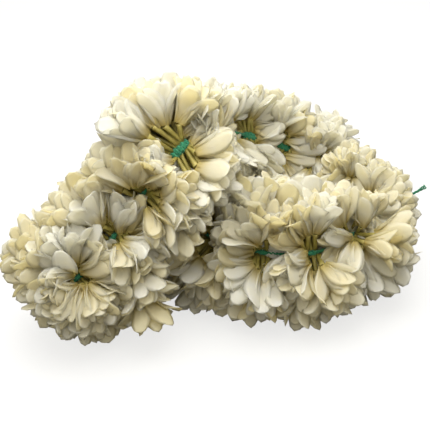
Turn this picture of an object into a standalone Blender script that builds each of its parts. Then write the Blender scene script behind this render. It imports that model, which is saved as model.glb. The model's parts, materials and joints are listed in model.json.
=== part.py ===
"""A string of jasmine flowers, about 0.35 m long, laid down in one loose loop with its first stretch on top.

A green thread runs through the whole string. At each tie it is knotted round the stem ends of two bunches
of flowers, which point away from each other on either side of the thread. Metres, +Z up. The origin is on
the surface that the string lies on, under the middle of the pile.
"""

import math

import bmesh
import bpy
from mathutils import Matrix, Vector
from mathutils.geometry import interpolate_bezier

# Driving dimensions, in metres and degrees.
TIES = 17  # knots along the string, each with a bunch on either side
THREAD_RADIUS = 0.0007
KNOT_RADIUS = 0.0021
KNOT_LENGTH = 0.0056
SPARE_ENDS = 0.006  # thread beyond the first and the last tie

FLOWERS = 6  # in each bunch
PETALS = 5
STEM_RADIUS = 0.0010
THROAT_RADIUS = 0.0015
TUBE_LENGTH = 0.0150  # from the pinched stem ends to the throat
PETAL_RISE = 0.0105  # petal tips beyond the throat
PETAL_SPREAD = 0.0105  # petal tips out from the flower's axis
NOTCH_SHARE = 0.62  # how far out the notch between two petals lies, as a share of the tips
NOTCH_RISE = 0.0070
CUP_DEPTH = 0.0035  # middle of the open flower beyond the throat

FAN = 72.0  # the outermost flowers of a bunch lean this far round the thread
LEAN = 20.0  # neighbouring flowers lean this far along the thread, to one side and the other
END_LEAN = 24.0  # flowers of the two end ties lean further, over the end of the string

PINCH_OFFSET = 0.0043  # middle of the pinched stem ends from the thread's middle
PINCH_RADIUS = 0.0017
PINCH_LENGTH = 0.0062
GAP = 0.0004  # free space left between neighbouring bunches
TAIL_GAP = 0.0018  # the same between the two bunches that the loose end of thread comes out between
PRESSED = 0.82  # petals are pressed in to this share of a flower's length before the flower is made smaller
BETWEEN_FLOWERS = 0.93  # petals that would meet a neighbouring flower stop this far short of it
FLOWER_TURN = math.radians(25.0)  # each flower is turned on its stem a little more than the last

TAIL_RADIUS = 0.0006
TAIL_TIES = {9, 10}  # the loose end of thread comes out between these two, on the right-hand bend

# The string's route, from its end at the front left, up over the loop, round the right side and back
# under itself. z is the height of the thread.
ROUTE = (
    (-0.058, -0.041, 0.026),
    (-0.047, -0.032, 0.033),
    (-0.036, -0.024, 0.045),
    (-0.025, -0.017, 0.059),
    (-0.013, -0.007, 0.069),
    (-0.003, 0.008, 0.067),
    (0.006, 0.025, 0.056),
    (0.020, 0.040, 0.042),
    (0.036, 0.046, 0.032),
    (0.052, 0.040, 0.027),
    (0.062, 0.024, 0.026),
    (0.063, 0.005, 0.027),
    (0.056, -0.012, 0.027),
    (0.039, -0.022, 0.027),
    (0.018, -0.021, 0.027),
    (-0.002, -0.011, 0.027),
    (-0.017, 0.006, 0.027),
    (-0.028, 0.023, 0.027),
)
# The loose end of thread, from beside the main thread out past the flowers.
TAIL_ROUTE = (
    (0.0648, 0.0188, 0.0263),
    (0.0770, 0.0206, 0.0225),
    (0.0880, 0.0223, 0.0230),
    (0.0956, 0.0236, 0.0272),
)
CENTRE = Vector((0.00591, 0.00306, 0.0))  # taken off every route point, so that the pile is centred

# The side that the seam between the two rows of bunches faces. Then, as (tie, value) pairs to read between:
# how many degrees the rows turn round the thread, and the flowers' size as a share of the full one.
SEAM_FACES = Vector((0.0, -0.788, 0.616))
TURNS = ((0, 0.0), (4, 0.0), (6, -25.0), (7, -15.0), (9, 50.0), (10, 40.0), (12, 0.0), (16, 0.0))
SIZES = ((0, 0.9), (1, 1.0), (2, 1.0), (3, 0.9), (5, 0.82), (8, 0.8), (10, 0.95), (12, 1.0), (16, 1.0))

PETAL_CREAM = (0.86, 0.83, 0.70, 1.0)
THREAD_GREEN = (0.02, 0.29, 0.20, 1.0)


def material(name, colour, roughness):
    made = bpy.data.materials.new(name)
    made.use_nodes = True
    shader = made.node_tree.nodes["Principled BSDF"]
    shader.inputs["Base Color"].default_value = colour
    shader.inputs["Roughness"].default_value = roughness
    return made


def smooth_line(points, steps=16):
    """Points along a smooth curve through the given ones."""
    line = []
    for i in range(len(points) - 1):
        before = points[max(i - 1, 0)]
        start, end = points[i], points[i + 1]
        after = points[min(i + 2, len(points) - 1)]
        stretch = interpolate_bezier(start, start + (end - before) / 6, end - (after - start) / 6, end, steps)
        line += stretch[:-1]
    return line + [points[-1]]


def along(line, distance):
    """The point on a line at a distance from its start, and the line's direction there."""
    for start, end in zip(line, line[1:]):
        step = (end - start).length
        if distance <= step:
            return start.lerp(end, distance / step), (end - start).normalized()
        distance -= step
    return line[-1].copy(), (line[-1] - line[-2]).normalized()


def length_of(line):
    return sum((end - start).length for start, end in zip(line, line[1:]))


def at_tie(pairs, tie):
    """The value at a tie, read between (tie, value) pairs."""
    for (first, low), (last, high) in zip(pairs, pairs[1:]):
        if tie <= last:
            return low + (high - low) * (tie - first) / (last - first)
    return pairs[-1][1]


class Tie:
    """A knot on the thread: where it is, which way the thread runs, and which way its first bunch points."""

    def __init__(self, number, line, spacing):
        self.number = number
        self.place, self.run = along(line, SPARE_ENDS + number * spacing)
        turn = Matrix.Rotation(math.radians(at_tie(TURNS, number)), 3, self.run)
        self.side = turn @ self.run.cross(SEAM_FACES).normalized()


class Cell:
    """The space that one bunch keeps to: its own side of the seam, above the ground, and nearer to its own
    knot than to any other. It is held as flat walls, each a (place, outward direction) pair."""

    def __init__(self, tie, side, ties):
        self.base = tie.place + side * PINCH_OFFSET
        self.seam = (tie.place + side * 2 * GAP, -side)
        self.walls = [(Vector((0, 0, 0)), Vector((0, 0, -1)))]
        for other in ties:
            if other is not tie:
                outward = (other.place - tie.place).normalized()
                middle = (other.place + tie.place) / 2
                gap = TAIL_GAP if {tie.number, other.number} == TAIL_TIES else GAP
                self.walls.append((middle - outward * gap / 2, outward))

    def share_inside(self, point, walls, centre):
        """How much of the way from a centre to a point lies inside the walls."""
        way = point - centre
        share = 1.0
        for place, outward in walls:
            beyond = (point - place).dot(outward)
            if beyond > 0:
                share = min(share, 1 - beyond / way.dot(outward))
        return share

    def room(self, direction):
        """The share of a full-sized flower's length that there is room for in a direction."""
        tip = self.base + direction * (TUBE_LENGTH + PETAL_RISE)
        return self.share_inside(tip, self.walls, self.base)


def open_flower():
    """One open flower, standing on the origin: a tube up to the throat, and a cup of pointed petals."""
    bm = bmesh.new()
    bmesh.ops.create_cone(
        bm,
        cap_ends=True,
        segments=PETALS,
        radius1=STEM_RADIUS,
        radius2=THROAT_RADIUS,
        depth=TUBE_LENGTH,
        matrix=Matrix.Translation((0, 0, TUBE_LENGTH / 2)),
    )
    throat = max(bm.faces, key=lambda face: face.calc_center_median().z)
    bmesh.ops.extrude_discrete_faces(bm, faces=[throat])
    mouth = max(bm.faces, key=lambda face: (face.calc_center_median().z, face.normal.z))
    for vertex in mouth.verts:
        vertex.co.xy *= PETAL_SPREAD / THROAT_RADIUS
        vertex.co.z = TUBE_LENGTH + PETAL_RISE
    made = bmesh.ops.subdivide_edges(bm, edges=list(mouth.edges), cuts=1)
    for notch in {item for item in made["geom_inner"] if isinstance(item, bmesh.types.BMVert)}:
        notch.co.xy *= NOTCH_SHARE
        notch.co.z = TUBE_LENGTH + NOTCH_RISE
    mouth = max(bm.faces, key=lambda face: len(face.verts))
    cup = bmesh.ops.poke(bm, faces=[mouth])["verts"][0]
    cup.co = (0, 0, TUBE_LENGTH + CUP_DEPTH)
    bmesh.ops.triangulate(bm, faces=bm.faces)
    mesh = bpy.data.meshes.new("open_flower")
    bm.to_mesh(mesh)
    bm.free()
    return mesh


def flower_directions(tie, side):
    """Which way each flower of a bunch points: spread round the thread, and leaning along it in turn."""
    end_lean = {0: -END_LEAN, TIES - 1: END_LEAN}.get(tie.number, 0.0)
    for number in range(FLOWERS):
        spread = FAN * (2 * number / (FLOWERS - 1) - 1)
        lean = LEAN * (-1) ** number + end_lean
        outward = Matrix.Rotation(math.radians(spread), 3, tie.run) @ side
        yield (Matrix.Rotation(math.radians(lean), 3, tie.run.cross(outward) * -1) @ outward).normalized()


def bunch(name, tie, side, ties, flower, cream, helpers):
    """A bunch of flowers on one side of a tie, joined where the thread pinches their stem ends together."""
    cell = Cell(tie, side, ties)
    base = cell.base
    directions = list(flower_directions(tie, side))
    bm = bmesh.new()
    for number, direction in enumerate(directions):
        # Where the way is short the whole flower is smaller, and only its petals are pressed in further.
        size = min(at_tie(SIZES, tie.number), cell.room(direction) / PRESSED)
        turn = direction.to_track_quat("Z", "Y").to_matrix() @ Matrix.Rotation(FLOWER_TURN * number, 3, "Z")
        between = [(base, (other - direction).normalized()) for other in directions if other is not direction]
        before = len(bm.verts)
        bm.from_mesh(flower)
        bm.verts.ensure_lookup_table()
        for vertex in bm.verts[before:]:
            outside_tube = vertex.co.xy.length > 1.01 * THROAT_RADIUS
            point = base + turn @ vertex.co * size
            if outside_tube:
                centre = base + direction * (point - base).dot(direction)
                share = cell.share_inside(point, between + [cell.seam], centre)
                point = centre.lerp(point, share * (1.0 if share == 1.0 else BETWEEN_FLOWERS))
            vertex.co = base.lerp(point, cell.share_inside(point, cell.walls, base))
    flowers = bpy.data.objects.new(name + "_flowers", bpy.data.meshes.new(name + "_flowers"))
    bm.to_mesh(flowers.data)
    bm.free()
    helpers.objects.link(flowers)
    flowers.hide_render = True
    flowers.display_type = "WIRE"

    pinch_turn = tie.run.to_track_quat("Z", "Y").to_matrix().to_4x4()
    bm = bmesh.new()
    bmesh.ops.create_cone(
        bm,
        cap_ends=True,
        segments=8,
        radius1=PINCH_RADIUS,
        radius2=PINCH_RADIUS,
        depth=PINCH_LENGTH,
        matrix=Matrix.Translation(base) @ pinch_turn,
    )
    made = bpy.data.objects.new(name, bpy.data.meshes.new(name))
    bm.to_mesh(made.data)
    bm.free()
    made.data.materials.append(cream)
    join = made.modifiers.new("join flowers", "BOOLEAN")
    join.operation = "UNION"
    join.object = flowers
    join.use_self = True
    return made


def tube(name, points, radius, colour, swell=None):
    """A thread through the points, thicker by the share that swell gives for each point."""
    curve = bpy.data.curves.new(name, "CURVE")
    curve.dimensions = "3D"
    curve.bevel_depth = radius
    curve.bevel_resolution = 2
    curve.use_fill_caps = True
    spline = curve.splines.new("POLY")
    spline.points.add(len(points) - 1)
    for spot, point in zip(spline.points, points):
        spot.co = (*point, 1.0)
    for spot, share in zip(spline.points, swell or ()):
        spot.radius = share
    curve.materials.append(colour)
    return bpy.data.objects.new(name, curve)


def thread(line, spacing, colour):
    """The thread, with a knot at each tie."""
    # Each knot's shape along the thread: (place from its middle, thickness), and one plain point between ties.
    knot_share = KNOT_RADIUS / THREAD_RADIUS
    profile = (
        (-0.5 * KNOT_LENGTH, 1.0),
        (-0.3 * KNOT_LENGTH, knot_share),
        (0.3 * KNOT_LENGTH, knot_share),
        (0.5 * KNOT_LENGTH, 1.0),
        (0.5 * spacing, 1.0),
    )
    marks = [(0.0, 1.0)]
    for number in range(TIES):
        marks += [(SPARE_ENDS + number * spacing + place, share) for place, share in profile]
    marks[-1] = (length_of(line), 1.0)
    points = [along(line, distance)[0] for distance, _ in marks]
    return tube("thread", points, THREAD_RADIUS, colour, [share for _, share in marks])


def main():
    for obj in list(bpy.data.objects):
        bpy.data.objects.remove(obj)
    pile = bpy.data.collections.new("jasmine_flower_string")
    helpers = bpy.data.collections.new("helpers")
    for collection in (pile, helpers):
        bpy.context.scene.collection.children.link(collection)

    cream = material("petal_cream", PETAL_CREAM, 0.55)
    green = material("thread_green", THREAD_GREEN, 0.85)

    line = smooth_line([Vector(point) - CENTRE for point in ROUTE])
    spacing = (length_of(line) - 2 * SPARE_ENDS) / (TIES - 1)
    ties = [Tie(number, line, spacing) for number in range(TIES)]
    pile.objects.link(thread(line, spacing, green))
    tail = smooth_line([Vector(point) - CENTRE for point in TAIL_ROUTE], 5)
    pile.objects.link(tube("loose_thread_end", tail, TAIL_RADIUS, green))
    flower = open_flower()
    for tie in ties:
        for side_name, side in (("upper", tie.side), ("lower", -tie.side)):
            name = f"bunch_{tie.number + 1:02d}_{side_name}"
            pile.objects.link(bunch(name, tie, side, ties, flower, cream, helpers))


main()
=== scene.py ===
"""A string of jasmine flowers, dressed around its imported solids.

Every bunch of the string is made of separate flowers on olive tubes, each with two whorls of cupped petals
that fold up where a neighbour, the thread's seam or the ground leaves them little room. The thread is twisted
from plies, wound round the stem ends at each tie, and its loose end is frayed. Metres, +Z up.
"""

import json
import math
import random

import bmesh
import bpy
import numpy as np
from bpy.props import FloatProperty, FloatVectorProperty, IntProperty, PointerProperty
from mathutils import Matrix, Vector
from mathutils.geometry import interpolate_bezier

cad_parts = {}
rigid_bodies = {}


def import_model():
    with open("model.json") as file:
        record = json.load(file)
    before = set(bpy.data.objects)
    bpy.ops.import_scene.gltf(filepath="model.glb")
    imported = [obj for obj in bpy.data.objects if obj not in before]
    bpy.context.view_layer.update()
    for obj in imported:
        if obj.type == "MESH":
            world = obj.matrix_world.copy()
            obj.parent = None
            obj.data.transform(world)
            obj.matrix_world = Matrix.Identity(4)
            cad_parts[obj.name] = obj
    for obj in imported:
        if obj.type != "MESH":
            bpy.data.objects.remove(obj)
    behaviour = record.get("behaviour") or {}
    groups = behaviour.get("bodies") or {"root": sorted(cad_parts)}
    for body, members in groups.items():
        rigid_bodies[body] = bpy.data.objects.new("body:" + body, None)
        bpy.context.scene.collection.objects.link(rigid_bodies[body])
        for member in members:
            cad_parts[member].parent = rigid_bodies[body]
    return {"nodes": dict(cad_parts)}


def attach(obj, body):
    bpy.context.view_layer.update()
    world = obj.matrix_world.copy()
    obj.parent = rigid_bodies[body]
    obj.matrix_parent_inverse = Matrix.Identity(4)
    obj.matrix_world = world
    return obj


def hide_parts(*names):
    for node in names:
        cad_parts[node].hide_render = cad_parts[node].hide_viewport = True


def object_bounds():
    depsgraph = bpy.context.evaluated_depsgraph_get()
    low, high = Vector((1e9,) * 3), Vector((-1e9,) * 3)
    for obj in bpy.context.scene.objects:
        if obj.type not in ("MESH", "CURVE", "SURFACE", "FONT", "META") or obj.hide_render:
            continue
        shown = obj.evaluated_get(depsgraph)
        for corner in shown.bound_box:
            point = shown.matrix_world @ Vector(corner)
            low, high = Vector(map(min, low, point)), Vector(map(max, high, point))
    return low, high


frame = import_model()
CAD_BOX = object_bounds()

bl_info = {
    "name": "Jasmine Flower String",
    "version": (1, 0, 0),
    "blender": (4, 5, 0),
    "location": "3D View > Sidebar > Jasmine",
    "description": "Dresses a knotted string of jasmine flowers with petals, tubes and twisted thread",
    "category": "Object",
}

# ---------------------------------------------------------------------------------------------------------
# The string's layout, by the same rules as its solids.

TIES = sum(name.endswith("_upper") for name in frame["nodes"])
SPARE_ENDS = 0.006  # thread beyond the first and the last tie
PINCH_OFFSET = 0.0043  # middle of the pinched stem ends from the thread's middle

# The string's route, from its end at the front left, up over the loop, round the right side and back
# under itself. z is the height of the thread.
ROUTE = (
    (-0.058, -0.041, 0.026),
    (-0.047, -0.032, 0.033),
    (-0.036, -0.024, 0.045),
    (-0.025, -0.017, 0.059),
    (-0.013, -0.007, 0.069),
    (-0.003, 0.008, 0.067),
    (0.006, 0.025, 0.056),
    (0.020, 0.040, 0.042),
    (0.036, 0.046, 0.032),
    (0.052, 0.040, 0.027),
    (0.062, 0.024, 0.026),
    (0.063, 0.005, 0.027),
    (0.056, -0.012, 0.027),
    (0.039, -0.022, 0.027),
    (0.018, -0.021, 0.027),
    (-0.002, -0.011, 0.027),
    (-0.017, 0.006, 0.027),
    (-0.028, 0.023, 0.027),
)
# The loose end of thread, from beside the main thread out past the flowers.
TAIL_ROUTE = (
    (0.0648, 0.0188, 0.0263),
    (0.0770, 0.0206, 0.0225),
    (0.0880, 0.0223, 0.0230),
    (0.0956, 0.0236, 0.0272),
)
CENTRE = Vector((0.00591, 0.00306, 0.0))  # taken off every route point, so that the pile is centred

# The side that the seam between the two rows of bunches faces. Then, as (tie, value) pairs to read between:
# how many degrees the rows turn round the thread, and the size of each row's flowers as a share of full size.
SEAM_FACES = Vector((0.0, -0.788, 0.616))
TURNS = ((0, 0.0), (4, 0.0), (6, -25.0), (7, -15.0), (9, 50.0), (10, 40.0), (12, 0.0), (16, 0.0))
SIZES = {
    "upper": (
        (0, 1.0), (1, 1.0), (2, 1.12), (3, 1.02), (4, 0.72),
        (5, 0.86), (6, 1.0), (7, 1.06), (8, 1.0), (9, 0.86),
        (10, 0.9), (12, 1.16), (14, 1.2), (16, 1.04),
    ),
    "lower": (
        (0, 1.12), (1, 1.14), (2, 1.04), (3, 1.21), (4, 0.8),
        (5, 0.76), (6, 0.85), (7, 0.93), (8, 0.84), (9, 0.70),
        (10, 0.94), (11, 1.09), (12, 1.17), (14, 1.17), (16, 1.0),
    ),
}

# Knots that show between the flowers, as {tie: (how far ahead of it the opening that the petals leave is, and
# the opening's radius)}, and how much of their tubes shows, as shares for the upper and the lower row.
WINDOWS = {3: (0.0062, 0.0068), 6: (0.0030, 0.0042), 7: (0.0078, 0.0030)}
TUBES_SHOWN = {3: (0.6, 0.95), 6: (0.6, 0.9), 7: (0.6, 0.6)}
KNOTS_AHEAD = {3: 0.0030, 6: 0.0025, 7: 0.0060}  # how far a knot sits past its tie, along the string

# Dark gaps between the flowers: {tie: (how far ahead of the tie, how far to its upper row's side, radius)}.
GAPS = {
    0: (0.0012, 0.0039, 0.0022),
    1: (0.0061, 0.0046, 0.0027),
    2: (-0.0021, 0.0047, 0.0024),
    6: (0.0030, -0.0050, 0.0036),
    8: (-0.0037, 0.0052, 0.0020),
    10: (0.0076, -0.0076, 0.0022),
    11: (0.0054, -0.0131, 0.0036),
    12: (-0.0063, 0.0, 0.0044),
    13: (0.0, 0.0, 0.0042),
}

# Flowers that hang out past their neighbours: {(tie, row): ((way, length of the tube as a share), ...)}.
STRAYS = {
    (0, "lower"): (((-0.90, 0.26, 0.34), 1.2), ((-0.98, 0.10, 0.13), 1.15)),
    (1, "upper"): (((0.49, -0.69, -0.56), 1.5), ((0.45, -0.62, -0.66), 2.0), ((0.40, -0.58, -0.72), 2.5)),
}

# Bunches pressed in from one side: {tie: (the side's way out, how far the flowers reach that way)}.
PRESSED = {0: ((-0.80, -0.37, -0.47), 0.0235)}

# The angle in degrees from the way the seam faces to the nearest flowers, as (tie, value) pairs.
SEAM_ANGLES = ((0, 50.0), (3, 56.0), (4, 52.0), (7, 50.0), (9, 42.0), (11, 42.0), (12, 50.0), (16, 50.0))

# Bunches laid another way: {tie: how much is added to their seed}.
LAID_AGAIN = {0: 4, 1: 4, 2: 4, 3: 4, 10: 3, 11: 3, 12: 3, 13: 3, 14: 3, 15: 3, 16: 3}

# How creamy the flowers are, from 0 to 1, as (tie, value) pairs. This is partly their own cream tone and
# partly painted light: the flowers over the loop's top (ties 3 to 8) are made whiter to stand in for the
# brighter light that falls there.
CREAM_AND_TOP_LIGHT = ((0, 0.22), (2, 0.22), (3, 0.04), (8, 0.0), (9, 0.18), (12, 0.22), (16, 0.22))

SEAM_CLEAR = math.radians(36.0)  # no petal points nearer than this to the way the seam faces
FEWEST_PETALS = 4  # a flower with room for fewer is left out
LAID_FLAT = 0.65  # how much the petals near the seam turn their broad side to it


def smooth_line(points, steps=16):
    """Points along a smooth curve through the given ones."""
    line = []
    for i in range(len(points) - 1):
        before = points[max(i - 1, 0)]
        start, end = points[i], points[i + 1]
        after = points[min(i + 2, len(points) - 1)]
        stretch = interpolate_bezier(start, start + (end - before) / 6, end - (after - start) / 6, end, steps)
        line += stretch[:-1]
    return line + [points[-1]]


def along(line, distance):
    """The point on a line at a distance from its start, and the line's direction there."""
    for start, end in zip(line, line[1:]):
        step = (end - start).length
        if distance <= step:
            return start.lerp(end, distance / step), (end - start).normalized()
        distance -= step
    return line[-1].copy(), (line[-1] - line[-2]).normalized()


def length_of(line):
    """The length of a line of points."""
    return sum((end - start).length for start, end in zip(line, line[1:]))


def at_tie(pairs, tie):
    """The value at a tie, read between (tie, value) pairs."""
    for (first, low), (last, high) in zip(pairs, pairs[1:]):
        if tie <= last:
            return low + (high - low) * (tie - first) / (last - first)
    return pairs[-1][1]


class Tie:
    """A knot on the thread: its place, which way the thread runs, which way the seam opens and which way its
    first bunch points."""

    def __init__(self, number, line, spacing):
        self.number = number
        self.place, self.run = along(line, SPARE_ENDS + number * spacing)
        turn = Matrix.Rotation(math.radians(at_tie(TURNS, number)), 3, self.run)
        self.side = turn @ self.run.cross(SEAM_FACES).normalized()
        self.seam = self.side.cross(self.run).normalized()
        front = SEAM_FACES - self.run * min(0.0, SEAM_FACES.dot(self.run))
        front += self.run * 0.16 * math.sin(2.4 * number) + self.side * 0.16 * math.cos(1.7 * number)
        self.front = front.normalized()


def the_line():
    """The thread's whole route, as closely spaced points."""
    return smooth_line([Vector(point) - CENTRE for point in ROUTE])


def the_ties():
    """The ties, evenly spaced between the thread's spare ends."""
    line = the_line()
    spacing = (length_of(line) - 2 * SPARE_ENDS) / (TIES - 1)
    return [Tie(number, line, spacing) for number in range(TIES)]


# ---------------------------------------------------------------------------------------------------------
# Settings.


class PetalSettings(bpy.types.PropertyGroup):
    length: FloatProperty(
        name="Length", description="Length of a full-sized petal", default=0.0175, unit="LENGTH"
    )
    width: FloatProperty(
        name="Width", description="Width of a full-sized petal", default=0.0090, unit="LENGTH"
    )
    thickness: FloatProperty(
        name="Thickness", description="Thickness in the middle of a petal", default=0.0005, unit="LENGTH"
    )
    tip: FloatVectorProperty(
        name="Tip", description="Colour of the outer part", default=(0.965, 0.965, 0.94), subtype="COLOR"
    )
    # The throat colour is partly the petal's own yellow foot and partly painted shade: it is darkened to
    # olive so that the depths of a bunch read as shaded.
    throat: FloatVectorProperty(
        name="Throat", description="Colour next to the tube", default=(0.74, 0.63, 0.22), subtype="COLOR"
    )
    warm: FloatVectorProperty(
        name="Warm", description="Colour of the yellower petals", default=(0.94, 0.87, 0.57), subtype="COLOR"
    )


class FlowerSettings(bpy.types.PropertyGroup):
    apart: FloatProperty(
        name="Apart",
        description="The angle between a bunch's flowers",
        default=math.radians(33.0),
        subtype="ANGLE",
    )
    outer: IntProperty(name="Outer petals", description="Petals in the outer whorl", default=6, min=3)
    inner: IntProperty(name="Inner petals", description="Petals in the inner whorl", default=4, min=0)
    tube: FloatProperty(
        name="Tube", description="From the pinched stem end to the throat", default=0.008, unit="LENGTH"
    )
    stem: FloatVectorProperty(
        name="Tube colour", description="Colour of the tubes", default=(0.32, 0.275, 0.06), subtype="COLOR"
    )
    seed: IntProperty(name="Seed", description="Draws the flowers' small differences", default=11)


class ThreadSettings(bpy.types.PropertyGroup):
    radius: FloatProperty(name="Radius", description="Radius of the thread", default=0.0007, unit="LENGTH")
    tail_radius: FloatProperty(
        name="Loose end radius", description="Radius of the loose end", default=0.0006, unit="LENGTH"
    )
    plies: IntProperty(name="Plies", description="Plies twisted into the thread", default=3, min=2)
    twist: FloatProperty(name="Twist", description="Turns of the plies in one metre", default=190.0)
    knot_length: FloatProperty(
        name="Knot length", description="Length of the winding at each tie", default=0.0092, unit="LENGTH"
    )
    knot_radius: FloatProperty(
        name="Knot radius", description="Middle radius of the winding", default=0.0011, unit="LENGTH"
    )
    colour: FloatVectorProperty(
        name="Colour", description="Colour of the dyed cotton", default=(0.018, 0.20, 0.105), subtype="COLOR"
    )


class StageSettings(bpy.types.PropertyGroup):
    elevation: FloatProperty(
        name="Elevation", description="Of the camera", default=math.radians(38.0), subtype="ANGLE"
    )
    distance: FloatProperty(
        name="Distance", description="From the camera to the aim", default=0.350, unit="LENGTH"
    )
    key: FloatProperty(name="Top light", description="Power of the light above", default=0.82, unit="POWER")
    fill: FloatProperty(
        name="Fill light", description="Power of the light in front", default=0.25, unit="POWER"
    )
    ambient: FloatProperty(name="Ambient", description="Strength of the even light all round", default=0.75)


# ---------------------------------------------------------------------------------------------------------
# Node trees.


def socket(tree, name, way, kind, default=None):
    """A named input or output of a node tree."""
    made = tree.interface.new_socket(name, in_out=way, socket_type=kind)
    if default is not None:
        made.default_value = default
    return made


def node(tree, kind, values=None, **options):
    """A node with its options set, and its inputs set or linked by name or number."""
    made = tree.nodes.new(kind)
    for name, value in options.items():
        setattr(made, name, value)
    for name, value in (values or {}).items():
        if isinstance(value, bpy.types.NodeSocket):
            tree.links.new(value, made.inputs[name])
        else:
            made.inputs[name].default_value = value
    return made


def maths(tree, operation, *values):
    """A maths node's result."""
    return node(tree, "ShaderNodeMath", dict(enumerate(values)), operation=operation).outputs[0]


def vector_maths(tree, operation, *values):
    """A vector maths node's result."""
    return node(tree, "ShaderNodeVectorMath", dict(enumerate(values)), operation=operation).outputs[0]


def scaled(tree, vector, factor):
    """A vector times a number."""
    return node(tree, "ShaderNodeVectorMath", {0: vector, "Scale": factor}, operation="SCALE").outputs[0]


def between(tree, value, low, high, low_out=0.0, high_out=1.0):
    """A value brought from one range to another, smoothly."""
    made = node(
        tree,
        "ShaderNodeMapRange",
        {"Value": value, 1: low, 2: high, 3: low_out, 4: high_out},
        interpolation_type="SMOOTHSTEP",
    )
    return made.outputs[0]


def mixed(tree, factor, first, second):
    """A colour between two."""
    made = node(tree, "ShaderNodeMix", {0: factor, 6: first, 7: second}, data_type="RGBA")
    return made.outputs[2]


def attribute(tree, name, kind):
    """A named attribute, inside geometry nodes."""
    return node(tree, "GeometryNodeInputNamedAttribute", {"Name": name}, data_type=kind).outputs["Attribute"]


def geometry_tree(name, inputs):
    """An empty geometry node tree with the named inputs, each (name, socket kind, default)."""
    tree = bpy.data.node_groups.new(name, "GeometryNodeTree")
    socket(tree, "Geometry", "INPUT", "NodeSocketGeometry")
    for label, kind, default in inputs:
        socket(tree, label, "INPUT", kind, default)
    socket(tree, "Geometry", "OUTPUT", "NodeSocketGeometry")
    return tree, tree.nodes.new("NodeGroupInput").outputs, tree.nodes.new("NodeGroupOutput").inputs


def plain_mesh(source, tree, values, name):
    """What a geometry node tree makes of an object, as a new object with a plain mesh, in its stead."""
    modifier = source.modifiers.new(tree.name, "NODES")
    modifier.node_group = tree
    for item in tree.interface.items_tree:
        if item.in_out == "INPUT" and item.name in values:
            modifier[item.identifier] = values[item.name]
    graph = bpy.context.evaluated_depsgraph_get()
    mesh = bpy.data.meshes.new_from_object(
        source.evaluated_get(graph), preserve_all_data_layers=True, depsgraph=graph
    )
    mesh.name = name
    bpy.data.objects.remove(source)
    made = bpy.data.objects.new(name, mesh)
    bpy.context.scene.collection.objects.link(made)
    return made


def settle(piece, slot, *nodes):
    """A finished piece rides on the string's one body and stands for its solids."""
    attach(piece, "root")
    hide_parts(*nodes)


# ---------------------------------------------------------------------------------------------------------
# Materials.


def mottle_group():
    """Soft, uneven patches, for whatever grew or was dyed."""
    tree = bpy.data.node_groups.new("Mottle", "ShaderNodeTree")
    socket(tree, "Size", "INPUT", "NodeSocketFloat", 0.004)
    socket(tree, "Mask", "OUTPUT", "NodeSocketFloat")
    inputs = tree.nodes.new("NodeGroupInput").outputs
    outputs = tree.nodes.new("NodeGroupOutput").inputs
    place = node(tree, "ShaderNodeTexCoord").outputs["Object"]
    scale = maths(tree, "DIVIDE", 1.0, inputs["Size"])
    noise = node(tree, "ShaderNodeTexNoise", {"Vector": place, "Scale": scale, "Detail": 3.0})
    tree.links.new(between(tree, noise.outputs["Fac"], 0.32, 0.68), outputs["Mask"])
    return tree


def fibre_group():
    """Fine lines along a petal, tube or ply, by its own UV map: across is u and along is v."""
    tree = bpy.data.node_groups.new("Fibres", "ShaderNodeTree")
    socket(tree, "Lines", "INPUT", "NodeSocketFloat", 14.0)
    socket(tree, "Waver", "INPUT", "NodeSocketFloat", 2.0)
    socket(tree, "Height", "OUTPUT", "NodeSocketFloat")
    inputs = tree.nodes.new("NodeGroupInput").outputs
    outputs = tree.nodes.new("NodeGroupOutput").inputs
    spot = node(tree, "ShaderNodeSeparateXYZ", {0: node(tree, "ShaderNodeUVMap").outputs[0]}).outputs
    across = maths(tree, "MULTIPLY", spot[0], inputs["Lines"])
    stretched = node(
        tree, "ShaderNodeCombineXYZ", {0: across, 1: maths(tree, "MULTIPLY", spot[1], inputs["Waver"])}
    )
    noise = node(tree, "ShaderNodeTexNoise", {"Vector": stretched.outputs[0], "Scale": 1.0, "Detail": 2.0})
    tree.links.new(noise.outputs["Fac"], outputs["Height"])
    return tree


def shared_group(name, maker):
    """A shader node group, made once."""
    return bpy.data.node_groups.get(name) or maker()


def group_node(tree, name, maker, values):
    """A shared node group, placed in a material's tree."""
    made = tree.nodes.new("ShaderNodeGroup")
    made.node_tree = shared_group(name, maker)
    for label, value in values.items():
        made.inputs[label].default_value = value
    return made.outputs[0]


def new_material(name):
    """A material with only its output left in its tree."""
    material = bpy.data.materials.new(name)
    material.use_nodes = True
    tree = material.node_tree
    tree.nodes.remove(tree.nodes["Principled BSDF"])
    return material, tree, tree.nodes["Material Output"].inputs["Surface"]


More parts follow.
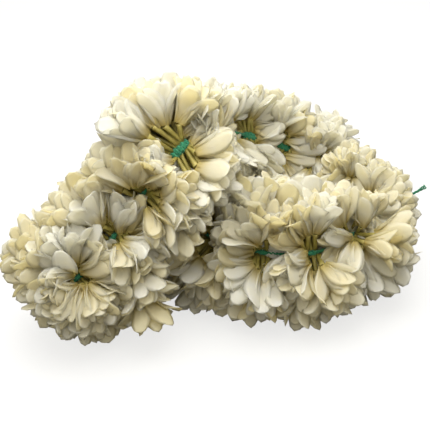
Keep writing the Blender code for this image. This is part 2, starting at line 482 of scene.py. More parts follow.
def petal_material():
    settings = bpy.context.scene.jasmine_petals
    material, tree, surface = new_material("jasmine petal")
    tip, throat, warm = ((*colour, 1.0) for colour in (settings.tip, settings.throat, settings.warm))
    unwrapped = node(tree, "ShaderNodeUVMap").outputs[0]
    along_petal = node(tree, "ShaderNodeSeparateXYZ", {0: unwrapped}).outputs[1]
    tone = node(tree, "ShaderNodeAttribute", attribute_name="tone").outputs["Fac"]
    patches = group_node(tree, "Mottle", mottle_group, {"Size": 0.005})
    fibres = group_node(tree, "Fibres", fibre_group, {"Lines": 13.0, "Waver": 2.2})
    outer = mixed(tree, tone, tip, warm)
    outer = mixed(tree, maths(tree, "MULTIPLY", patches, 0.15), outer, warm)
    reach = maths(tree, "ADD", along_petal, maths(tree, "MULTIPLY", fibres, 0.16))
    # Towards the tube the petal takes the throat colour: its own yellow foot, darkened as painted shade for
    # the depths of the bunch.
    colour = mixed(tree, between(tree, reach, 0.0, 0.52), throat, outer)
    height = maths(tree, "ADD", maths(tree, "MULTIPLY", fibres, 0.7), maths(tree, "MULTIPLY", patches, 0.5))
    bump = node(tree, "ShaderNodeBump", {"Height": height, "Strength": 0.25, "Distance": 0.0004}).outputs[0]
    principled = node(
        tree,
        "ShaderNodeBsdfPrincipled",
        {"Base Color": colour, "Roughness": 0.6, "Specular IOR Level": 0.25, "Normal": bump},
    )
    glow = mixed(tree, between(tree, tone, 0.0, 0.6, 0.15, 0.65), colour, warm)
    through = node(tree, "ShaderNodeBsdfTranslucent", {"Color": glow, "Normal": bump})
    both = node(tree, "ShaderNodeMixShader", {0: 0.6, 1: principled.outputs[0], 2: through.outputs[0]})
    tree.links.new(both.outputs[0], surface)
    return material


def tube_material():
    settings = bpy.context.scene.jasmine_flowers
    throat = (*bpy.context.scene.jasmine_petals.throat, 1.0)
    material, tree, surface = new_material("jasmine tube")
    along_tube = node(tree, "ShaderNodeSeparateXYZ", {0: node(tree, "ShaderNodeUVMap").outputs[0]}).outputs[1]
    patches = group_node(tree, "Mottle", mottle_group, {"Size": 0.002})
    fibres = group_node(tree, "Fibres", fibre_group, {"Lines": 9.0, "Waver": 3.0})
    olive = (*settings.stem, 1.0)
    brown = (settings.stem[0] * 0.62, settings.stem[1] * 0.55, settings.stem[2] * 0.6, 1.0)
    skin = mixed(tree, maths(tree, "MULTIPLY", patches, 0.6), olive, brown)
    # Near the throat the tube takes on part of the throat colour, with the painted shade that colour carries.
    colour = mixed(tree, between(tree, along_tube, 0.55, 1.0, 0.0, 0.5), skin, throat)
    bump = node(tree, "ShaderNodeBump", {"Height": fibres, "Strength": 0.5, "Distance": 0.0004}).outputs[0]
    principled = node(
        tree,
        "ShaderNodeBsdfPrincipled",
        {"Base Color": colour, "Roughness": 0.5, "Specular IOR Level": 0.4, "Normal": bump},
    )
    tree.links.new(principled.outputs[0], surface)
    return material


def thread_material():
    settings = bpy.context.scene.jasmine_thread
    material, tree, surface = new_material("dyed cotton")
    dyed = (*settings.colour, 1.0)
    worn = (settings.colour[0] * 2.5 + 0.01, settings.colour[1] * 1.5, settings.colour[2] * 1.5, 1.0)
    patches = group_node(tree, "Mottle", mottle_group, {"Size": 0.0012})
    fibres = group_node(tree, "Fibres", fibre_group, {"Lines": 8.0, "Waver": 900.0})
    colour = mixed(tree, patches, dyed, worn)
    bump = node(tree, "ShaderNodeBump", {"Height": fibres, "Strength": 0.7, "Distance": 0.0002}).outputs[0]
    principled = node(
        tree,
        "ShaderNodeBsdfPrincipled",
        {
            "Base Color": colour,
            "Roughness": 0.85,
            "Specular IOR Level": 0.25,
            "Sheen Weight": 0.25,
            "Normal": bump,
        },
    )
    tree.links.new(principled.outputs[0], surface)
    return material


# ---------------------------------------------------------------------------------------------------------
# Flowers.

# Each kind of petal: width share, how deep it is cupped across (radians), how far its tip bends outwards
# (radians), how pointed its tip is (0.5 is round), and how wavy its edge is.
PETAL_KINDS = (
    (0.92, 0.25, 0.35, 0.56, 0.08),
    (0.86, 0.42, -0.20, 0.60, 0.16),
    (1.04, 0.32, 0.15, 0.54, 0.22),
    (0.84, 0.35, 0.65, 0.58, 0.14),
    (0.80, 0.65, 0.20, 0.62, 0.08),
    (0.90, 0.38, -0.05, 0.66, 0.26),
)
TUBE_KIND = len(PETAL_KINDS)
PETAL_ROWS = (0.0, 0.16, 0.37, 0.58, 0.77, 0.92, 1.0)
PETAL_COLUMNS = (-1.0, -0.55, 0.0, 0.55, 1.0)
WIDEST = 0.53  # how far along a petal it is widest
CLAW = 0.46  # width at its foot, as a share
HUG = 0.3  # how far the foot of a petal is bent in towards the flower's axis, in radians


def half_width(v, point):
    """A petal's half width, as a share of its greatest, at a share of its length."""
    if v < WIDEST:
        return CLAW + (1 - CLAW) * math.sin(math.pi / 2 * v / WIDEST) ** 1.3
    return max(0.0, 1 - ((v - WIDEST) / (1 - WIDEST)) ** 2.3) ** point


def petal_midline(curl, steps=40):
    """The middle line of a petal one unit long: its (outward, upward) places and angles, at even steps."""
    angles = [curl * (i / steps) ** 2 - HUG * (1 - i / steps) ** 3 for i in range(steps + 1)]
    places = [(0.0, 0.0)]
    for angle in angles[1:]:
        x, z = places[-1]
        places.append((x + math.sin(angle) / steps, z + math.cos(angle) / steps))
    return places, angles


def petal_part(name, kind, settings):
    """One petal on the origin, along +Z, with its inner face to -X: two skins that meet at the edge."""
    share, cup, curl, point, wave = kind
    places, angles = petal_midline(curl)
    steps = len(angles) - 1
    bm = bmesh.new()
    uv = bm.loops.layers.uv.new("UVMap")
    for skin in (-1.0, 1.0):
        grid = []
        for v in PETAL_ROWS:
            spot = min(int(v * steps + 0.5), steps)
            (x, z), angle = places[spot], angles[spot]
            wide = settings.width / 2 * share * half_width(v, point)
            bowl = cup * math.sin(math.pi * (0.15 + 0.7 * v))
            row = []
            for u in PETAL_COLUMNS:
                across = wide * math.sin(bowl * u) / bowl
                depth = -wide * (1 - math.cos(bowl * u)) / bowl
                depth += wide * wave * u * abs(u) * math.sin(2.2 * math.pi * v + 1.0)
                swell = math.sin(math.pi * min(v + 0.02, 1.0)) ** 0.5
                depth += skin * settings.thickness / 2 * (1 - u * u) * swell
                place = Vector(
                    (
                        x * settings.length + depth * math.cos(angle),
                        across,
                        z * settings.length - depth * math.sin(angle),
                    )
                )
                row.append(bm.verts.new(place))
            grid.append(row)
        for i in range(len(grid) - 1):
            for j in range(len(PETAL_COLUMNS) - 1):
                face = bm.faces.new((grid[i][j], grid[i][j + 1], grid[i + 1][j + 1], grid[i + 1][j]))
                spots = ((i, j), (i, j + 1), (i + 1, j + 1), (i + 1, j))
                for loop, (row, column) in zip(face.loops, spots):
                    loop[uv].uv = ((PETAL_COLUMNS[column] + 1) / 2, PETAL_ROWS[row])
    return finished_part(name, bm)


def tube_part(name, length):
    """A flower's tube on the origin, along +Z, with a hollow throat."""
    profile = (
        (0.00075, 0.0),
        (0.00085, 0.3),
        (0.00095, 0.65),
        (0.0011, 0.88),
        (0.0014, 1.0),
        (0.0010, 0.97),
        (0.0005, 0.82),
    )
    sides = 7
    bm = bmesh.new()
    uv = bm.loops.layers.uv.new("UVMap")
    rings = []
    for radius, share in profile:
        turns = [2 * math.pi * i / sides for i in range(sides)]
        places = [(radius * math.cos(a), radius * math.sin(a), share * length) for a in turns]
        rings.append([bm.verts.new(place) for place in places])
    for lower, upper, (_, low), (_, high) in zip(rings, rings[1:], profile, profile[1:]):
        for i in range(sides):
            j = (i + 1) % sides
            face = bm.faces.new((lower[i], lower[j], upper[j], upper[i]))
            for loop, spot in zip(face.loops, ((i, low), (i + 1, low), (i + 1, high), (i, high))):
                loop[uv].uv = (spot[0] / sides, spot[1])
    bm.faces.new(reversed(rings[0]))
    bm.faces.new(rings[-1])
    return finished_part(name, bm)


def finished_part(name, bm):
    """A part for instancing: closed, smooth, with its faces outwards."""
    bmesh.ops.remove_doubles(bm, verts=bm.verts, dist=1e-6)
    bmesh.ops.dissolve_degenerate(bm, edges=bm.edges, dist=1e-7)
    bmesh.ops.recalc_face_normals(bm, faces=bm.faces)
    mesh = bpy.data.meshes.new(name)
    bm.to_mesh(mesh)
    bm.free()
    mesh.shade_smooth()
    return bpy.data.objects.new(name, mesh)


def flower_parts():
    """The collection of petals and the tube, in the order of their kinds."""
    petals = bpy.context.scene.jasmine_petals
    flowers = bpy.context.scene.jasmine_flowers
    parts = bpy.data.collections.new("flower_parts")
    for number, kind in enumerate(PETAL_KINDS):
        parts.objects.link(petal_part(f"part_{number}", kind, petals))
    parts.objects.link(tube_part(f"part_{TUBE_KIND}", flowers.tube))
    return parts


def bunch_tree():
    """Sets a petal or a tube on every point, turned and sized by the point's attributes."""
    tree, given, out = geometry_tree(
        "Flowers of a bunch",
        (
            ("Parts", "NodeSocketCollection", None),
            ("Petal Material", "NodeSocketMaterial", None),
            ("Tube Material", "NodeSocketMaterial", None),
        ),
    )
    parts = node(tree, "GeometryNodeCollectionInfo", {"Collection": given["Parts"]})
    parts.inputs["Separate Children"].default_value = True
    parts.inputs["Reset Children"].default_value = True
    placed = node(
        tree,
        "GeometryNodeInstanceOnPoints",
        {
            "Points": given["Geometry"],
            "Instance": parts.outputs[0],
            "Pick Instance": True,
            "Instance Index": attribute(tree, "kind", "INT"),
            "Rotation": attribute(tree, "turn", "QUATERNION"),
            "Scale": attribute(tree, "size", "FLOAT_VECTOR"),
        },
    )
    real = node(tree, "GeometryNodeRealizeInstances", {0: placed.outputs[0]})
    petals = node(
        tree,
        "GeometryNodeSetMaterial",
        {"Geometry": real.outputs[0], "Material": given["Petal Material"]},
    )
    is_tube = node(
        tree,
        "FunctionNodeCompare",
        {2: attribute(tree, "kind", "INT"), 3: TUBE_KIND},
        data_type="INT",
        operation="EQUAL",
    )
    tubes = node(
        tree,
        "GeometryNodeSetMaterial",
        {"Geometry": petals.outputs[0], "Selection": is_tube.outputs[0], "Material": given["Tube Material"]},
    )
    tree.links.new(tubes.outputs[0], out[0])
    return tree


class Walls:
    """The flat walls that a bunch's flowers keep to, and by how much they may press past each."""

    def __init__(self):
        self.places, self.outward, self.slack = [], [], []

    def add(self, place, outward, slack):
        self.places.append(tuple(place))
        self.outward.append(tuple(outward))
        self.slack.append(slack)

    def ready(self):
        self.outward = np.array(self.outward)
        self.reach = (np.array(self.places) * self.outward).sum(1) + np.array(self.slack)

    def hold(self, points):
        """Whether all the points are inside."""
        return bool((np.array(points) @ self.outward.T <= self.reach).all())

    def share(self, start, end):
        """How much of the way from start to end lies inside."""
        start, end = np.array(start), np.array(end)
        near, far = self.outward @ start, self.outward @ end
        crossed = far > self.reach
        if not crossed.any():
            return 1.0
        return float(max(0.0, ((self.reach - near)[crossed] / (far - near)[crossed]).min()))


GROUND_CLEARANCE = 0.0005
BEYOND_SOLIDS = 0.0015
PRESS_AHEAD = 0.0120  # over the next tie's flowers, which keep clear by the next one
PRESS_BACK = 0.0010
PRESS_PAST_TIE = 0.0050
PRESS_PAST_STRAND = 0.0060
PRESS_PAST_FLOWER = 0.0055
SEAM_COVER = 0.0070
TAIL_TIES = {9, 10}
TAIL_CLEARANCE = 0.0038
OPENING_DEPTH = 0.045
WIDER_LEFT = 3.2  # how many times further than elsewhere the petals may reach on the left


class Opening:
    """A clear way to a knot or round the loose end, which petals keep out of: round, or longer one way."""

    def __init__(self, place, out, radius, longer=Vector()):
        self.place, self.out, self.radius, self.longer = place, out, radius, longer

    def holds(self, point):
        away = point - self.place
        height = away.dot(self.out)
        if self.longer.length > 0:
            share = away.dot(self.longer) / self.longer.length_squared
            away -= self.longer * max(-1.0, min(1.0, share))
        aside = (away - self.out * away.dot(self.out)).length
        return 0 < height < OPENING_DEPTH and aside < self.radius + height * 0.12


def bunch_walls(tie, side, ties):
    """The walls a bunch's flowers keep to: the ground, the solids' box, the seam and the other ties."""
    low, high = CAD_BOX
    walls = Walls()
    walls.add((0, 0, 0), (0, 0, -1), -GROUND_CLEARANCE)
    walls.add(high, (0, 0, 1), BEYOND_SOLIDS)
    if tie.number in PRESSED:
        out, reach = PRESSED[tie.number]
        walls.add(tie.place, Vector(out).normalized(), reach)
    walls.add(low, (-1, 0, 0), BEYOND_SOLIDS * WIDER_LEFT)
    walls.add(-low, (1, 0, 0), BEYOND_SOLIDS)
    walls.add(low, (0, -1, 0), BEYOND_SOLIDS)
    walls.add(high, (0, 1, 0), BEYOND_SOLIDS)
    walls.add(tie.place, -side, SEAM_COVER)
    for other in ties:
        if other is not tie:
            outward = (other.place - tie.place).normalized()
            apart = other.number - tie.number
            press = {1: PRESS_AHEAD, -1: PRESS_BACK, 2: PRESS_PAST_TIE, -2: PRESS_PAST_TIE}
            press = press.get(apart, PRESS_PAST_STRAND)
            walls.add((other.place + tie.place) / 2, outward, press)
    return walls


def flower_directions(tie, base, walls, full, settings, draw):
    """Which way each flower of a bunch points, with how much of its length it has room for: evenly spaced, in
    every direction that leaves it room."""
    count = round(4 * math.pi / settings.apart**2 * 1.15 * min(1.0, (full / 0.0255) ** 1.5))
    seam_angle = math.radians(at_tie(SEAM_ANGLES, tie.number))
    turn = Matrix.Rotation(draw.uniform(0, 6.28), 3, Vector([draw.gauss(0, 1) for _ in range(3)]))
    for number in range(count):
        height = 1 - (2 * number + 1) / count
        angle = number * math.pi * (3 - math.sqrt(5))
        flat = math.sqrt(1 - height * height)
        point = Vector((flat * math.cos(angle), flat * math.sin(angle), height))
        point += Vector([draw.uniform(-0.07, 0.07) for _ in range(3)])
        direction = (turn @ point).normalized()
        room = walls.share(base, base + direction * full)
        if room > 0.72 and min(direction.angle(tie.front), direction.angle(tie.seam) + 0.2) > seam_angle:
            yield direction, room


def petal_turn(axis, radial, opening, twist, seam, flat):
    """A petal's turn: along +Z of its part it points, and its back, +X, faces out and down. Near the seam its
    broad side turns to the seam."""
    forward = axis * math.cos(opening) + radial * math.sin(opening)
    back = radial * math.cos(opening) - axis * math.sin(opening)
    side = 1 if back.dot(seam) > 0 else -1
    back = (back + (seam - forward * seam.dot(forward)) * side * flat).normalized()
    turn = Matrix((back, forward.cross(back), forward)).transposed()
    return (turn @ Matrix.Rotation(twist, 3, "Z")).to_quaternion()


def lay_bunch(tie, side_name, side, ties, draw):
    """The points of a bunch: place, turn, size, kind and tone of every petal and tube."""
    petals = bpy.context.scene.jasmine_petals
    flowers = bpy.context.scene.jasmine_flowers
    base = tie.place + side * PINCH_OFFSET
    largest = at_tie(SIZES[side_name], tie.number)
    full = (flowers.tube + petals.length) * largest
    openings = []
    for number, (ahead, radius) in WINDOWS.items():
        place = ties[number].place + ties[number].run * ahead
        openings.append(Opening(place, SEAM_FACES, radius, ties[number].run * 0.003))
    for number, (ahead, aside, radius) in GAPS.items():
        place = ties[number].place + ties[number].run * ahead + ties[number].side * aside
        openings.append(Opening(place, SEAM_FACES, radius, ties[number].run * radius * 0.6))
    if tie.number in TAIL_TIES:
        start, end = (Vector(TAIL_ROUTE[i]) - CENTRE for i in (1, 3))
        openings.append(Opening(start, (end - start).normalized(), TAIL_CLEARANCE))
    walls = bunch_walls(tie, side, ties)
    walls.ready()
    laid = [(*found, 1.0) for found in flower_directions(tie, base, walls, full, flowers, draw)]
    for way, stretch in STRAYS.get((tie.number, side_name), ()):
        laid.append((Vector(way).normalized(), 1.0, stretch))
    rows = []
    for direction, room, stretch in laid:
        stray = stretch != 1.0
        walls = bunch_walls(tie, side, () if stray else ties)
        for other, _, _ in () if stray else laid:
            if other is not direction:
                walls.add(base, (other - direction).normalized(), PRESS_PAST_FLOWER)
        walls.ready()
        reach = full * max(0.68, min(draw.uniform(0.94, 1.04), room * 1.05))
        size = 0.5 + 0.5 * reach / (flowers.tube + petals.length)
        tube = reach - petals.length * size
        lean = max(-1.0, min(1.0, direction.dot(tie.run) * 2.2))
        beside = KNOTS_AHEAD.get(tie.number, 0.0) + 0.0030 * lean + draw.uniform(-5e-4, 5e-4)
        foot = tie.place + side * 0.0012 + tie.run * beside
        facing = max(0.0, direction.dot(tie.front))
        shown = 0.35 * draw.uniform(0.5, 1.5)
        if tie.number in WINDOWS:
            shown = TUBES_SHOWN[tie.number][side_name == "lower"]
        drawn_in = 1 - (1 - shown) * min(1.0, facing * 1.5)
        lifted = tie.place + tie.front * (0.002 if tie.number in WINDOWS else 0.0075)
        start = base.lerp(lifted, min(1.0, facing * 1.5) * (0.75 - 0.75 * shown))
        if stray:
            drawn_in = 1.0
        throat = start + direction * tube * drawn_in * stretch * draw.uniform(0.9, 1.05)
        throat.z = max(throat.z, 0.004)
        stem = throat - foot
        drawn_back = facing * (0.35 if tie.number in WINDOWS else 0.1)
        axis = (direction * 0.85 + stem.normalized() * 0.15 - tie.front * drawn_back).normalized()
        # A flower's tone is drawn round its tie's value: random cream, plus the painted light that whitens
        # the flowers over the loop's top.
        tone = min(1.0, max(0.0, draw.gauss(at_tie(CREAM_AND_TOP_LIGHT, tie.number), 0.20)))
        stretched = (size, size, stem.length / flowers.tube)
        flower = [(foot, stem.to_track_quat("Z", "Y"), stretched, TUBE_KIND, tone)]
        opened = draw.uniform(0.2, 0.9)
        whorls = (
            (flowers.outer, 0.0, math.radians(26 + 24 * opened), 1.0),
            (flowers.inner, math.pi / 6, math.radians(9 + 18 * opened), 0.92),
        )
        across = (tie.front - axis * tie.front.dot(axis)).normalized()
        first = draw.uniform(0, 2 * math.pi) * (1 if facing < 0.2 else 0.5)
        flat = LAID_FLAT * min(1.0, max(0.0, direction.dot(tie.front) + 0.5))
        for count, offset, opening, share in whorls:
            for number in range(count):
                around = first + offset + 2 * math.pi * number / count + draw.uniform(-0.14, 0.14)
                radial = (Matrix.Rotation(around, 3, axis) @ across).normalized()
                kind = draw.randrange(len(PETAL_KINDS))
                long = size * share * draw.uniform(0.88, 1.06)
                wide = size * share * draw.uniform(0.9, 1.1)
                start = throat + radial * 0.0009 * size
                twist = draw.uniform(-0.32, 0.32)
                wish = opening + draw.uniform(-0.15, 0.15)
                angle, long = folded(
                    walls, openings, tie.front, start, axis, radial, wish, kind, petals.length, long
                )
                if not long:
                    continue
                flower.append(
                    (
                        start,
                        petal_turn(axis, radial, angle, twist, tie.front, flat),
                        (wide, wide, long),
                        kind,
                        min(1.0, max(0.0, tone + draw.uniform(-0.12, 0.12))),
                    )
                )
        if len(flower) >= FEWEST_PETALS:
            rows += flower
    return rows


def folded(walls, openings, seam, start, axis, radial, wish, kind, length, long):
    """How far a petal opens from its flower's axis and how long it is: as wished, or folded up until it keeps
    to its walls and out of the openings. A petal with no room is left out, with no length."""
    curl = PETAL_KINDS[kind][2] * 0.33
    angle = wish
    while angle > max(-0.3, wish - 0.7):
        tip = start + (axis * math.cos(angle + curl) + radial * math.sin(angle + curl)) * length * long
        middle = start + (axis * math.cos(angle) + radial * math.sin(angle)) * length * long * 0.6
        aside = (tip - start).angle(seam) > SEAM_CLEAR
        if aside and walls.hold((tip, middle)) and clear(openings, start, middle, tip):
            return angle, long
        angle -= 0.07
    angle = min(wish, 0.15)
    tip = start + (axis * math.cos(angle) + radial * math.sin(angle)) * length * long
    share = walls.share(start, tip)
    tip = start.lerp(tip, share)
    if share > 0.8 and clear(openings, start, start.lerp(tip, 0.6), tip):
        return angle, long * share
    return angle, 0.0


def clear(openings, start, middle, tip):
    """Whether a petal keeps out of the openings."""
    spots = (start.lerp(middle, 0.5), middle, middle.lerp(tip, 0.5), tip)
    return not any(opening.holds(spot) for opening in openings for spot in spots)


def points_object(name, rows):
    """Bare points that carry the attributes of what is set on them."""
    mesh = bpy.data.meshes.new(name)
    mesh.from_pydata([row[0] for row in rows], [], [])
    for label, kind, slot, field in (
        ("turn", "QUATERNION", 1, "value"),
        ("size", "FLOAT_VECTOR", 2, "vector"),
        ("kind", "INT", 3, "value"),
        ("tone", "FLOAT", 4, "value"),
    ):
        layer = mesh.attributes.new(label, kind, "POINT")
        for spot, row in zip(layer.data, rows):
            setattr(spot, field, row[slot])
    made = bpy.data.objects.new(name, mesh)
    bpy.context.scene.collection.objects.link(made)
    return made


def keep_above_ground(mesh, lowest):
    """Petals that would reach into the ground lie on it instead."""
    places = np.empty(len(mesh.vertices) * 3)
    mesh.vertices.foreach_get("co", places)
    heights = places[2::3]
    low = heights < lowest * 3
    heights[low] = lowest + np.clip(heights[low] - lowest, -0.004, None) * 0.02 + 0.04 * lowest
    heights[:] = np.maximum(heights, lowest)
    mesh.vertices.foreach_set("co", places)


class JASMINE_OT_bunches(bpy.types.Operator):
    """Make the flowers of every bunch, as one piece for each bunch"""

    bl_idname = "jasmine.bunches"
    bl_label = "Flower bunches"

    def execute(self, context):
        parts = flower_parts()
        tree = bunch_tree()
        values = {"Parts": parts, "Petal Material": petal_material(), "Tube Material": tube_material()}
        ties = the_ties()
        seed = context.scene.jasmine_flowers.seed
        for tie in ties:
            for side_name, side in (("upper", tie.side), ("lower", -tie.side)):
                label = f"{tie.number + 1:02d}_{side_name}"
                draw = random.Random(f"{label} {seed + LAID_AGAIN.get(tie.number, 0)}")
                rows = lay_bunch(tie, side_name, side, ties, draw)
                piece = plain_mesh(points_object(label, rows), tree, values, f"jasmine_{label}")
                for name in ("turn", "size", "kind"):
                    piece.data.attributes.remove(piece.data.attributes[name])
                keep_above_ground(piece.data, 0.0002)
                settle(piece, "flower", f"bunch_{label}")
        for part in list(parts.objects):
            bpy.data.objects.remove(part)
        bpy.data.collections.remove(parts)
        return {"FINISHED"}


# ---------------------------------------------------------------------------------------------------------
# Thread.

PLY_SHARE = 0.52  # a ply's radius, and how far it is from the middle line, as shares of the thread's radius
THREAD_STEP = 0.00085  # between the points along the thread
TAIL_STEP = 0.0007  # between the points along the loose end


def ply_tree():
    """Twists plies round every curve, and sets loose fibres on them."""
    tree, given, out = geometry_tree(
        "Twisted thread",
        (
            ("Radius", "NodeSocketFloat", 0.0007),
            ("Plies", "NodeSocketInt", 3),
            ("Twist", "NodeSocketFloat", 190.0),
            ("Step", "NodeSocketFloat", 0.0007),
            ("Fray", "NodeSocketFloat", 0.0),
            ("Fibre Density", "NodeSocketFloat", 900000.0),
            ("Fibre Length", "NodeSocketFloat", 0.0011),
            ("Seed", "NodeSocketInt", 5),
            ("Material", "NodeSocketMaterial", None),
        ),
    )
    line = node(
        tree,
        "GeometryNodeResampleCurve",
        {"Curve": given["Geometry"], "Length": given["Step"]},
        mode="LENGTH",
    )
    spot = node(tree, "GeometryNodeSplineParameter").outputs
    frays = between(tree, spot["Factor"], 0.88, 1.0, 0.0, 1.0)
    kept = node(
        tree,
        "GeometryNodeStoreNamedAttribute",
        {"Geometry": line.outputs[0], "Name": "frays", "Value": frays},
        data_type="FLOAT",
        domain="POINT",
    )
    copies = node(
        tree,
        "GeometryNodeDuplicateElements",
        {"Geometry": kept.outputs[0], "Amount": given["Plies"]},
        domain="SPLINE",
    )
    run = node(tree, "GeometryNodeSplineParameter").outputs["Length"]
    turns = maths(tree, "MULTIPLY", run, given["Twist"])
    phase = maths(tree, "DIVIDE", copies.outputs["Duplicate Index"], given["Plies"])
    angle = maths(tree, "MULTIPLY", maths(tree, "ADD", turns, phase), 2 * math.pi)
    tangent = node(tree, "GeometryNodeInputTangent").outputs[0]
    normal = node(tree, "GeometryNodeInputNormal").outputs[0]
    across = vector_maths(tree, "CROSS_PRODUCT", tangent, normal)
    ring = vector_maths(
        tree,
        "ADD",
        scaled(tree, normal, maths(tree, "COSINE", angle)),
        scaled(tree, across, maths(tree, "SINE", angle)),
    )
    ply_radius = maths(tree, "MULTIPLY", given["Radius"], PLY_SHARE)
    opened = maths(tree, "MULTIPLY", attribute(tree, "frays", "FLOAT"), given["Fray"])
    spread = maths(tree, "MULTIPLY", ply_radius, maths(tree, "ADD", 1.0, opened))
    moved = node(
        tree,
        "GeometryNodeSetPosition",
        {"Geometry": copies.outputs[0], "Offset": scaled(tree, ring, spread)},
    )
    profile = node(
        tree, "GeometryNodeCurvePrimitiveCircle", {"Resolution": 6, "Radius": ply_radius}
    )
    along_uv = node(tree, "GeometryNodeSplineParameter").outputs["Length"]
    stored = node(
        tree,
        "GeometryNodeStoreNamedAttribute",
        {"Geometry": moved.outputs[0], "Name": "v", "Value": along_uv},
        data_type="FLOAT",
        domain="POINT",
    )
    round_uv = node(
        tree,
        "GeometryNodeStoreNamedAttribute",
        {
            "Geometry": profile.outputs[0],
            "Name": "u",
            "Value": node(tree, "GeometryNodeSplineParameter").outputs["Factor"],
        },
        data_type="FLOAT",
        domain="POINT",
    )
    plies = node(
        tree,
        "GeometryNodeCurveToMesh",
        {"Curve": stored.outputs[0], "Profile Curve": round_uv.outputs[0], "Fill Caps": True},
    )
    mapped = node(
        tree,
        "GeometryNodeStoreNamedAttribute",
        {
            "Geometry": plies.outputs[0],
            "Name": "UVMap",
            "Value": node(
                tree,
                "ShaderNodeCombineXYZ",
                {0: attribute(tree, "u", "FLOAT"), 1: attribute(tree, "v", "FLOAT")},
            ).outputs[0],
        },
        data_type="FLOAT2",
        domain="CORNER",
    )
    scattered = node(
        tree,
        "GeometryNodeDistributePointsOnFaces",
        {"Mesh": mapped.outputs[0], "Density": given["Fibre Density"], "Seed": given["Seed"]},
        distribute_method="RANDOM",
    )
    arc = node(
        tree,
        "GeometryNodeCurveQuadraticBezier",
        {"Resolution": 3, "Start": (0, 0, 0), "Middle": (0.3, 0.1, 0.5), "End": (0.15, 0.4, 1.0)},
    )
    hair = node(
        tree,
        "GeometryNodeCurveToMesh",
        {
            "Curve": arc.outputs[0],
            "Profile Curve": node(
                tree, "GeometryNodeCurvePrimitiveCircle", {"Resolution": 3, "Radius": 0.035}
            ).outputs[0],
            "Fill Caps": True,
        },
    )
    lean = node(
        tree,
        "FunctionNodeRandomValue",
        {0: (-0.9, -0.9, 0.0), 1: (0.9, 0.9, 6.283), "Seed": given["Seed"]},
        data_type="FLOAT_VECTOR",
    )
    turned = node(
        tree,
        "FunctionNodeRotateRotation",
        {"Rotation": scattered.outputs["Rotation"], "Rotate By": lean.outputs[0]},
        rotation_space="LOCAL",
    )
    long = node(
        tree,
        "FunctionNodeRandomValue",
        {2: 0.4, 3: 1.0, "Seed": maths(tree, "ADD", given["Seed"], 1)},
        data_type="FLOAT",
    )
    fibres = node(
        tree,
        "GeometryNodeInstanceOnPoints",
        {
            "Points": scattered.outputs[0],
            "Instance": hair.outputs[0],
            "Rotation": turned.outputs[0],
            "Scale": maths(tree, "MULTIPLY", long.outputs[1], given["Fibre Length"]),
        },
    )
    joined = tree.nodes.new("GeometryNodeJoinGeometry")
    tree.links.new(fibres.outputs[0], joined.inputs[0])
    tree.links.new(mapped.outputs[0], joined.inputs[0])
    real = node(tree, "GeometryNodeRealizeInstances", {0: joined.outputs[0]})
    smooth = node(tree, "GeometryNodeSetShadeSmooth", {0: real.outputs[0]})
    done = node(
        tree,
        "GeometryNodeSetMaterial",
        {"Geometry": smooth.outputs[0], "Material": given["Material"]},
    )
    tree.links.new(done.outputs[0], out[0])
    return tree


def winding(tie, settings):
    """The thread's own line through one knot: wound forth and back round the stem ends."""
    turns, passes, steps = 14.0, 3, 230
    thick = 1.0 if tie.number in WINDOWS else 0.42
    middle = tie.place + tie.run * KNOTS_AHEAD.get(tie.number, 0.0)
    points = []
    for i in range(steps + 1):
        share = i / steps
        angle = 2 * math.pi * turns * share + 0.5 * math.sin(17 * share + tie.number)
        sweep = 1 - abs((passes * share) % 2 - 1) * 2
        radius = (settings.knot_radius + settings.radius * 0.8 * share) * (1 - 0.45 * abs(sweep) ** 3) * thick
        out = tie.seam * math.sin(angle) * 0.85 + tie.side * math.cos(angle)
        points.append(middle - tie.run * sweep * settings.knot_length / 2 * thick + out * radius)
    return points


def curve_object(name, lines):
    """A curve with one open spline for each line of points."""
    curve = bpy.data.curves.new(name, "CURVE")
    curve.dimensions = "3D"
    for points in lines:
        spline = curve.splines.new("POLY")
        spline.points.add(len(points) - 1)
        for spot, point in zip(spline.points, points):
            spot.co = (*point, 1.0)
    made = bpy.data.objects.new(name, curve)
    bpy.context.scene.collection.objects.link(made)
    return made


def tidy_attributes(mesh):
    """Takes off what only the thread's node tree needed."""
    for name in ("u", "v", "frays"):
        if name in mesh.attributes:
            mesh.attributes.remove(mesh.attributes[name])


class JASMINE_OT_thread(bpy.types.Operator):
    """Make the twisted thread with a winding at every tie, and its loose end"""

    bl_idname = "jasmine.thread"
    bl_label = "Thread and loose end"

    def execute(self, context):
        settings = context.scene.jasmine_thread
        tree = ply_tree()
        cotton = thread_material()
        lines = [the_line()] + [winding(tie, settings) for tie in the_ties()]
        values = {
            "Radius": settings.radius,
            "Plies": settings.plies,
            "Twist": settings.twist,
            "Step": THREAD_STEP,
            "Material": cotton,
        }
        thread = plain_mesh(curve_object("thread_lines", lines), tree, values, "green_thread")
        tidy_attributes(thread.data)
        settle(thread, "thread", "thread")

        route = smooth_line([Vector(point) - CENTRE for point in TAIL_ROUTE])
        values.update({"Radius": settings.tail_radius, "Step": TAIL_STEP, "Fray": 1.6})
        values.update({"Fibre Density": 1500000.0, "Seed": 9})
        tail = plain_mesh(curve_object("tail_line", [route]), tree, values, "frayed_thread_end")
        tidy_attributes(tail.data)
        settle(tail, "thread", "loose_thread_end")
        tuple(route[0])
        length_of(route)
        [tuple(point) for point in route]
        return {"FINISHED"}


# ---------------------------------------------------------------------------------------------------------
# Stage.

AIM = Vector((0.0, 0.0, 0.035)) - CENTRE
VIEW_WIDTH = 430.0  # how wide the view is, in the units of the next two
FOCAL = 822.0  # the lens's focal length
SHIFT = -10.0 / VIEW_WIDTH  # below 0, so that the view moves down
BRIGHT_SIDE = Vector((-0.20, 0.0, 0.98))  # where the even light is strongest


def aimed(data, name, place, aim):
    """A camera or light at a place, pointed at another."""
    made = bpy.data.objects.new(name, data)
    made.location = place
    made.rotation_euler = (aim - place).to_track_quat("-Z", "Y").to_euler()
    bpy.context.scene.collection.objects.link(made)
    return made


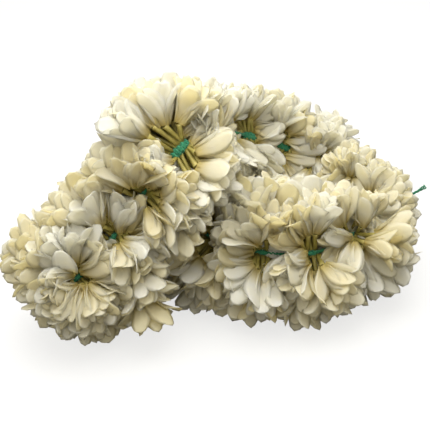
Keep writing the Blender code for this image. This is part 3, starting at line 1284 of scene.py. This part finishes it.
def area_light(name, power, size, place, colour):
    """A round soft light that points at the aim."""
    light = bpy.data.lights.new(name, "AREA")
    light.energy = power
    light.shape = "DISK"
    light.size = size
    light.color = colour
    return aimed(light, name, Vector(place), AIM)


def floor_material():
    """Near white to the camera, and greyer to the light that bounces off it."""
    material, tree, surface = new_material("pale floor")
    path = node(tree, "ShaderNodeLightPath").outputs
    seen = maths(tree, "MAXIMUM", path["Is Camera Ray"], path["Is Glossy Ray"])
    colour = mixed(tree, seen, (0.11, 0.102, 0.078, 1.0), (0.97, 0.97, 0.965, 1.0))
    matt = node(tree, "ShaderNodeBsdfDiffuse", {"Color": colour})
    lit = node(tree, "ShaderNodeEmission", {"Color": (1.0, 1.0, 0.995, 1.0)})
    share = maths(tree, "MULTIPLY", seen, 0.72)
    both = node(tree, "ShaderNodeMixShader", {0: share, 1: matt.outputs[0], 2: lit.outputs[0]})
    tree.links.new(both.outputs[0], surface)
    return material


class JASMINE_OT_stage(bpy.types.Operator):
    """Set up the pale floor, the soft lights and the camera"""

    bl_idname = "jasmine.stage"
    bl_label = "Stage"

    def execute(self, context):
        scene = context.scene
        settings = scene.jasmine_stage
        bm = bmesh.new()
        bmesh.ops.create_grid(bm, x_segments=1, y_segments=1, size=4.0)
        mesh = bpy.data.meshes.new("floor")
        bm.to_mesh(mesh)
        bm.free()
        mesh.materials.append(floor_material())
        floor = bpy.data.objects.new("floor", mesh)
        scene.collection.objects.link(floor)

        area_light("key", settings.key, 0.34, (-0.02, 0.03, 0.24), (1.0, 0.995, 0.97))
        area_light("fill", settings.fill, 0.7, (-0.30, -0.55, 0.5), (1.0, 0.95, 0.80))

        world = bpy.data.worlds.new("studio")
        world.use_nodes = True
        tree = world.node_tree
        tree.nodes.remove(tree.nodes["Background"])
        path = node(tree, "ShaderNodeLightPath").outputs
        seen = maths(tree, "MAXIMUM", path["Is Camera Ray"], path["Is Glossy Ray"])
        way = node(tree, "ShaderNodeTexCoord").outputs["Generated"]
        high = node(tree, "ShaderNodeVectorMath", {0: way, 1: BRIGHT_SIDE}, operation="DOT_PRODUCT")
        high = high.outputs["Value"]
        strength = maths(tree, "MULTIPLY", settings.ambient, between(tree, high, 0.0, 0.95, 0.45, 1.45))
        colour = mixed(tree, between(tree, high, 0.0, 0.95), (1.0, 0.945, 0.78, 1.0), (1.0, 0.985, 0.93, 1.0))
        even = node(tree, "ShaderNodeBackground", {"Color": colour, "Strength": strength})
        white = node(tree, "ShaderNodeBackground", {"Color": (1.0, 1.0, 1.0, 1.0), "Strength": 1.0})
        both = node(tree, "ShaderNodeMixShader", {0: seen, 1: even.outputs[0], 2: white.outputs[0]})
        tree.links.new(both.outputs[0], tree.nodes["World Output"].inputs["Surface"])
        scene.world = world

        lens = bpy.data.cameras.new("camera")
        lens.sensor_width = 36.0
        lens.lens = FOCAL / VIEW_WIDTH * lens.sensor_width
        lens.shift_y = SHIFT
        lens.clip_start = 0.01
        back = Vector((0.0, -math.cos(settings.elevation), math.sin(settings.elevation)))
        scene.camera = aimed(lens, "camera", AIM + back * settings.distance, AIM)
        scene.view_settings.view_transform = "Standard"
        return {"FINISHED"}


# ---------------------------------------------------------------------------------------------------------
# Panel and registration.


class JASMINE_PT_panel(bpy.types.Panel):
    """Lists what makes the string"""

    bl_idname = "JASMINE_PT_panel"
    bl_label = "Jasmine Flower String"
    bl_space_type = "VIEW_3D"
    bl_region_type = "UI"
    bl_category = "Jasmine"

    def draw(self, context):
        for operator in OPERATORS:
            self.layout.operator(operator.bl_idname)
        for name, group in SETTINGS.items():
            box = self.layout.box()
            box.label(text=name.replace("_", " ").capitalize())
            for label in group.__annotations__:
                box.prop(getattr(context.scene, name), label)


SETTINGS = {
    "jasmine_petals": PetalSettings,
    "jasmine_flowers": FlowerSettings,
    "jasmine_thread": ThreadSettings,
    "jasmine_stage": StageSettings,
}
OPERATORS = (JASMINE_OT_stage, JASMINE_OT_thread, JASMINE_OT_bunches)


def register():
    for made in (*SETTINGS.values(), *OPERATORS, JASMINE_PT_panel):
        bpy.utils.register_class(made)
    for name, group in SETTINGS.items():
        setattr(bpy.types.Scene, name, PointerProperty(type=group))


def unregister():
    for name in SETTINGS:
        delattr(bpy.types.Scene, name)
    for made in reversed((*SETTINGS.values(), *OPERATORS, JASMINE_PT_panel)):
        bpy.utils.unregister_class(made)


def main():
    register()
    bpy.ops.jasmine.stage()
    bpy.ops.jasmine.thread()
    bpy.ops.jasmine.bunches()


if __name__ == "__main__":
    main()
